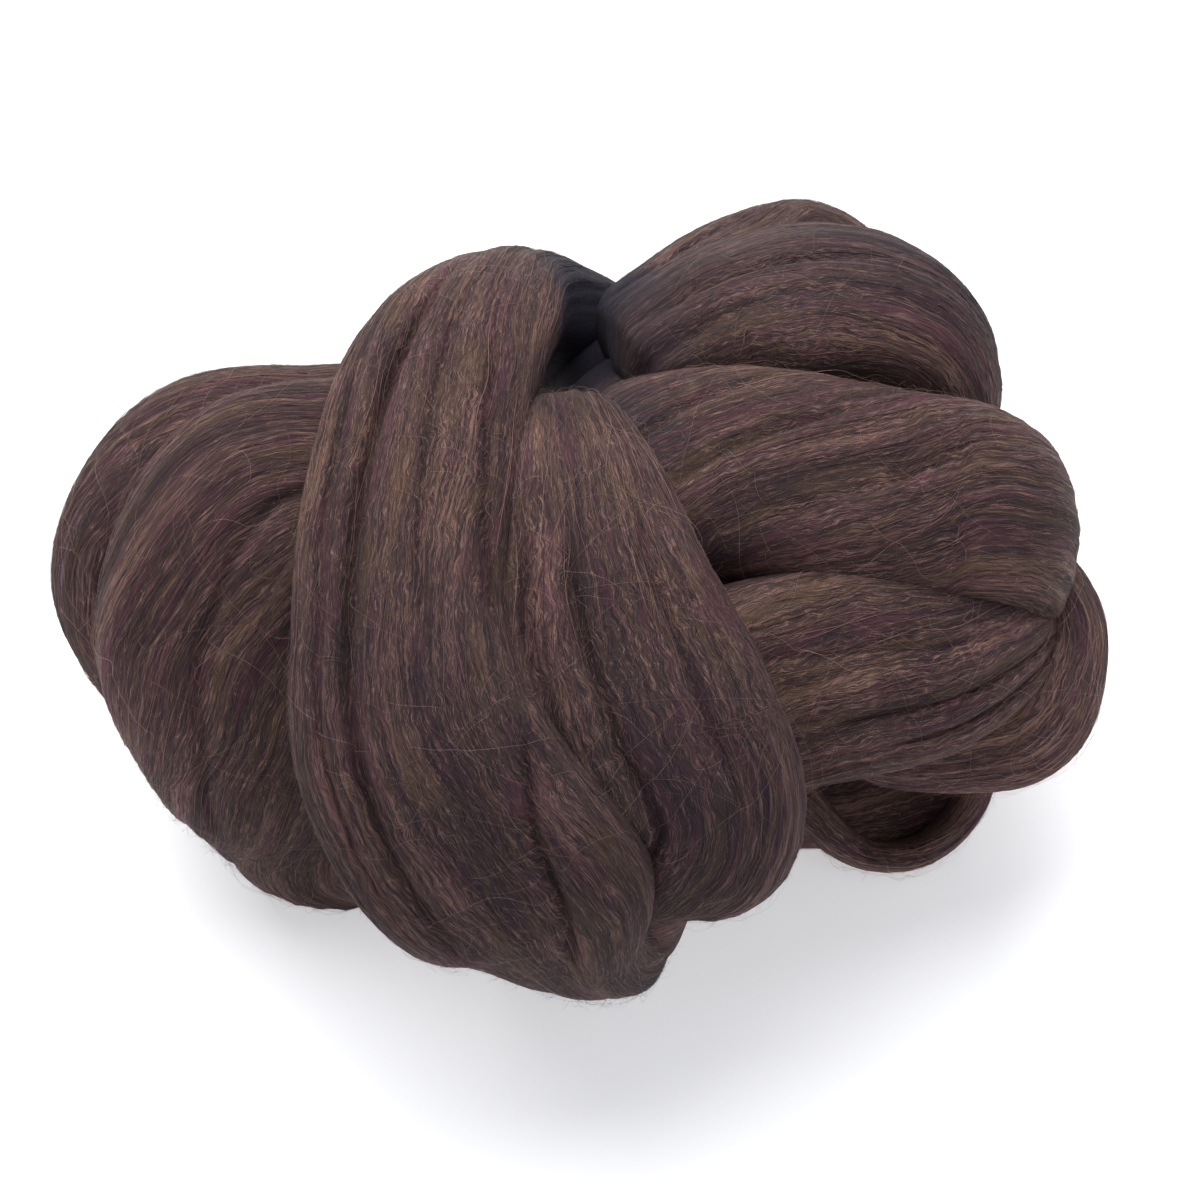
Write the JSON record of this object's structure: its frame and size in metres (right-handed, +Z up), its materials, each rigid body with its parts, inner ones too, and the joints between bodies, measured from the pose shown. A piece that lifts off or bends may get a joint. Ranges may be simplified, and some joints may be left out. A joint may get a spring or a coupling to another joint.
{
  "type": "bundle of wool roving",
  "caption": "Soft bundle of combed wool roving, folded to and fro with its last length wound round the middle, for spinning or felting.",
  "frame": {"origin": "centre of the bounding box in plan, at the table", "axes": "+X along the bundle towards the twisted end, +Y towards its back, +Z up from the table"},
  "size_m": [0.2505, 0.2157, 0.1218],
  "materials": {
    "wool": "dark brown combed wool, long fibres lying side by side, soft satin sheen, a few loose hairs"
  },
  "bodies": {
    "root": {"roving": "wool"}
  },
  "joints": []
}
